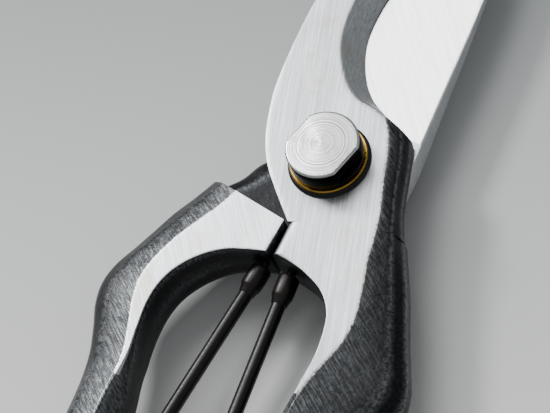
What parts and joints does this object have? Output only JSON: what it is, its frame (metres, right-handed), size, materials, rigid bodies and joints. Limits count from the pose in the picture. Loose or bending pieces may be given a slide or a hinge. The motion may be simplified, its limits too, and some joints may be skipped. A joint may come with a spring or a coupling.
{
  "type": "floral snips",
  "caption": "Hand-forged bypass snips: a crescent hook and a curved blade on one bolt, with a hairpin spring between the handles and a swinging catch.",
  "frame": {"origin": "centre of the pivot bolt's rear end, where the bolt and its nut lie flush", "axes": "+Z along the pivot bolt towards its head, +Y towards the blade tips, +X towards the blade's spine; the handles run along -Y"},
  "size_m": [0.0604, 0.1932, 0.0208],
  "materials": {
    "ground_steel": "ground bright on the near face, black forge scale outside",
    "blade_steel": "ground bright blade and face, black forge scale on neck and handle",
    "turned_steel": "turned bright",
    "blackened_washer": "blackened",
    "brass": "bright",
    "rear_washer_steel": "plain",
    "nut_steel": "plain",
    "spring_wire": "oil-blackened wire",
    "ferrule_steel": "oil-blackened, swaged",
    "catch_steel": "stamped plate",
    "catch_washer_brass": "plain",
    "rivet_steel": "plain"
  },
  "bodies": {
    "hook_side": {"hook_lever": "ground_steel", "pivot_bolt": "turned_steel", "dished_washer": "blackened_washer", "brass_washer": "brass", "rear_washer": "rear_washer_steel", "pivot_nut": "nut_steel", "catch_rivet": "rivet_steel", "catch_washer": "catch_washer_brass"},
    "blade_side": {"blade_lever": "blade_steel", "catch_stud": "rivet_steel"},
    "spring_right": {"spring_leg_right": "spring_wire", "spring_ferrule_right": "ferrule_steel"},
    "spring_left": {"spring_leg_left": "spring_wire", "spring_ferrule_left": "ferrule_steel"},
    "catch": {"catch_hook": "catch_steel"}
  },
  "joints": [
    {"name": "pivot", "type": "hinge", "parent": "hook_side", "child": "blade_side", "pos_m": [0, 0, 0.0095], "axis": [0, 0, -1], "range_deg": [-2.2, 28]},
    {"name": "spring_swivel", "type": "hinge", "parent": "hook_side", "child": "spring_right", "pos_m": [0.0008, -0.0186, 0.0095], "axis": [0, 0, -1], "range_deg": [-2, 22.5]},
    {"name": "spring_flex", "type": "hinge", "parent": "spring_right", "child": "spring_left", "pos_m": [-0.0017, -0.0818, 0.0095], "axis": [0, 0, -1], "range_deg": [-8.5, 1]},
    {"name": "catch_turn", "type": "hinge", "parent": "hook_side", "child": "catch", "pos_m": [0.01, -0.1215, 0.0157], "axis": [0, 0, 1], "range_deg": [0, 101.6]}
  ],
  "couplings": [
    {"joint": "spring_swivel", "follows": "pivot", "ratio": 0.78},
    {"joint": "spring_flex", "follows": "pivot", "ratio": -0.29}
  ]
}
